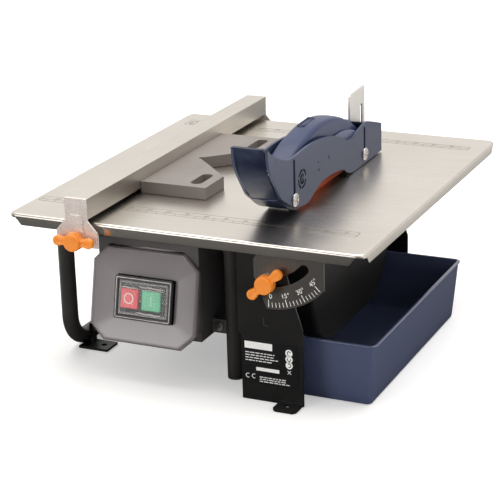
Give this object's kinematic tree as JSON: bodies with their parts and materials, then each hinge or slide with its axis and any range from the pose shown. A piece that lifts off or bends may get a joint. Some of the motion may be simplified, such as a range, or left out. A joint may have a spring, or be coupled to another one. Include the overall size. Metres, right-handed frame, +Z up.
{
  "type": "wet tile saw",
  "caption": "Bench wet tile saw with tilting steel table, rip fence and corner guide, lifting blade guard, motor with push switch, bent-tube frame and water tray.",
  "frame": {"origin": "centre of the footprint of the whole saw, on the floor", "axes": "+Z up, -Y towards the switch and the user, +X towards the water tray; the blade runs along Y and its axis along X"},
  "size_m": [0.36, 0.4312, 0.2356],
  "materials": {
    "steel_sheet": "satin zinc-coated sheet",
    "plate_steel": "brushed",
    "zinc_steel": "bright zinc",
    "black_paint": "semi-gloss powder coat",
    "orange_plastic": "moulded",
    "guide_plastic": "fine moulded grain",
    "rubber": "matt",
    "casing_plastic": "fine moulded grain",
    "panel_plastic": "fine moulded grain",
    "switch_black": "satin",
    "bezel_grey": "satin",
    "clear_film": "clear",
    "red_plastic": "moulded",
    "green_plastic": "moulded",
    "aluminium": "as cast",
    "laminations": "stacked sheet",
    "copper": "enamelled wire",
    "bearing_steel": "ground",
    "fan_black": "moulded",
    "blade_orange": "satin paint, grey diamond rim",
    "knife_steel": "satin",
    "guard_blue": "satin moulded",
    "tray_blue": "satin moulded",
    "label_film": "printed film"
  },
  "bodies": {
    "base": {"front_bracket": "black_paint", "rear_bracket": "black_paint", "motor_plate": "black_paint", "post_ties": "black_paint", "leg_tube": "black_paint", "tube_plugs": "rubber", "rest_pads": "rubber", "foot_brackets": "black_paint", "foot_bolts": "zinc_steel", "tilt_bolts": "zinc_steel", "tilt_guide_pins": "zinc_steel", "rating_label": "label_film", "motor_casing": "casing_plastic", "casing_screw": "zinc_steel", "panel_cover": "panel_plastic", "switch_body": "switch_black", "switch_bezel": "bezel_grey", "switch_membrane": "clear_film", "capacitor": "aluminium", "cable_gland": "rubber", "front_end_bell": "aluminium", "rear_end_bell": "aluminium", "tie_rods": "zinc_steel", "stator_core": "laminations", "stator_windings": "copper", "bearings": "bearing_steel", "blade_housing": "black_paint", "housing_screws": "zinc_steel", "riving_knife": "knife_steel", "knife_mount": "zinc_steel"},
    "table": {"table_top": "steel_sheet", "protractor_front": "plate_steel", "protractor_rear": "plate_steel"},
    "fence": {"fence_bar": "steel_sheet", "fence_end_front": "plate_steel", "fence_end_rear": "plate_steel", "fence_clip": "plate_steel", "fence_clamps": "black_paint", "fence_bolts": "zinc_steel"},
    "fence_knob_front": {"fence_knob_front": "orange_plastic"},
    "fence_knob_rear": {"fence_knob_rear": "orange_plastic"},
    "guide": {"corner_guide": "guide_plastic"},
    "tilt_knob_front": {"tilt_knob_front": "orange_plastic"},
    "tilt_knob_rear": {"tilt_knob_rear": "orange_plastic"},
    "guard": {"guard_shroud": "guard_blue", "guard_core": "guard_blue", "guard_screws": "zinc_steel", "guard_clamp_bolt": "zinc_steel"},
    "rotor": {"motor_shaft": "bearing_steel", "rotor_core": "laminations", "cooling_fan": "fan_black", "inner_flange": "bearing_steel", "diamond_blade": "blade_orange", "outer_flange": "bearing_steel", "arbor_nut": "zinc_steel"},
    "stop_button": {"stop_button": "red_plastic"},
    "start_button": {"start_button": "green_plastic"},
    "tray": {"water_tray": "tray_blue"}
  },
  "joints": [
    {"name": "table_tilt", "type": "hinge", "parent": "base", "child": "table", "pos_m": [0.087, 0, 0.166], "axis": [0, 1, 0], "range_deg": [0, 45]},
    {"name": "guard_lift", "type": "slide", "parent": "base", "child": "guard", "axis": [0, 0, 1], "range_m": [0, 0.0395]},
    {"name": "fence_slide", "type": "slide", "parent": "table", "child": "fence", "axis": [1, 0, 0], "range_m": [-0.055, 0.035]},
    {"name": "fence_knob_front_turn", "type": "hinge", "parent": "fence", "child": "fence_knob_front", "pos_m": [-0.1005, -0.21, 0.141], "axis": [0, -1, 0], "range_deg": [0, 270]},
    {"name": "fence_knob_rear_turn", "type": "hinge", "parent": "fence", "child": "fence_knob_rear", "pos_m": [-0.1005, 0.21, 0.141], "axis": [0, 1, 0], "range_deg": [0, 270]},
    {"name": "guide_slide", "type": "slide", "parent": "fence", "child": "guide", "axis": [0, 1, 0], "range_m": [-0.09, 0.1]},
    {"name": "tilt_knob_front_turn", "type": "hinge", "parent": "base", "child": "tilt_knob_front", "pos_m": [0.087, -0.198, 0.119], "axis": [0, -1, 0], "range_deg": [0, 270]},
    {"name": "tilt_knob_rear_turn", "type": "hinge", "parent": "base", "child": "tilt_knob_rear", "pos_m": [0.087, 0.106, 0.119], "axis": [0, 1, 0], "range_deg": [0, 270]},
    {"name": "blade_spin", "type": "hinge", "parent": "base", "child": "rotor", "pos_m": [0.063, -0.017, 0.1], "axis": [1, 0, 0], "continuous": true},
    {"name": "stop_press", "type": "slide", "parent": "base", "child": "stop_button", "axis": [0, 0.9757, -0.2193], "range_m": [0, 0.003], "stiffness_N_per_m": 400, "springref_m": -0.001},
    {"name": "start_press", "type": "slide", "parent": "base", "child": "start_button", "axis": [0, 0.9757, -0.2193], "range_m": [0, 0.003], "stiffness_N_per_m": 400, "springref_m": -0.001},
    {"name": "tray_drop", "type": "slide", "parent": "base", "child": "tray", "axis": [0, 0, -1], "range_m": [0, 0.065]}
  ],
  "couplings": [
    {"joint": "guard_lift", "follows": "table_tilt", "m_per_rad": 0.049656}
  ]
}
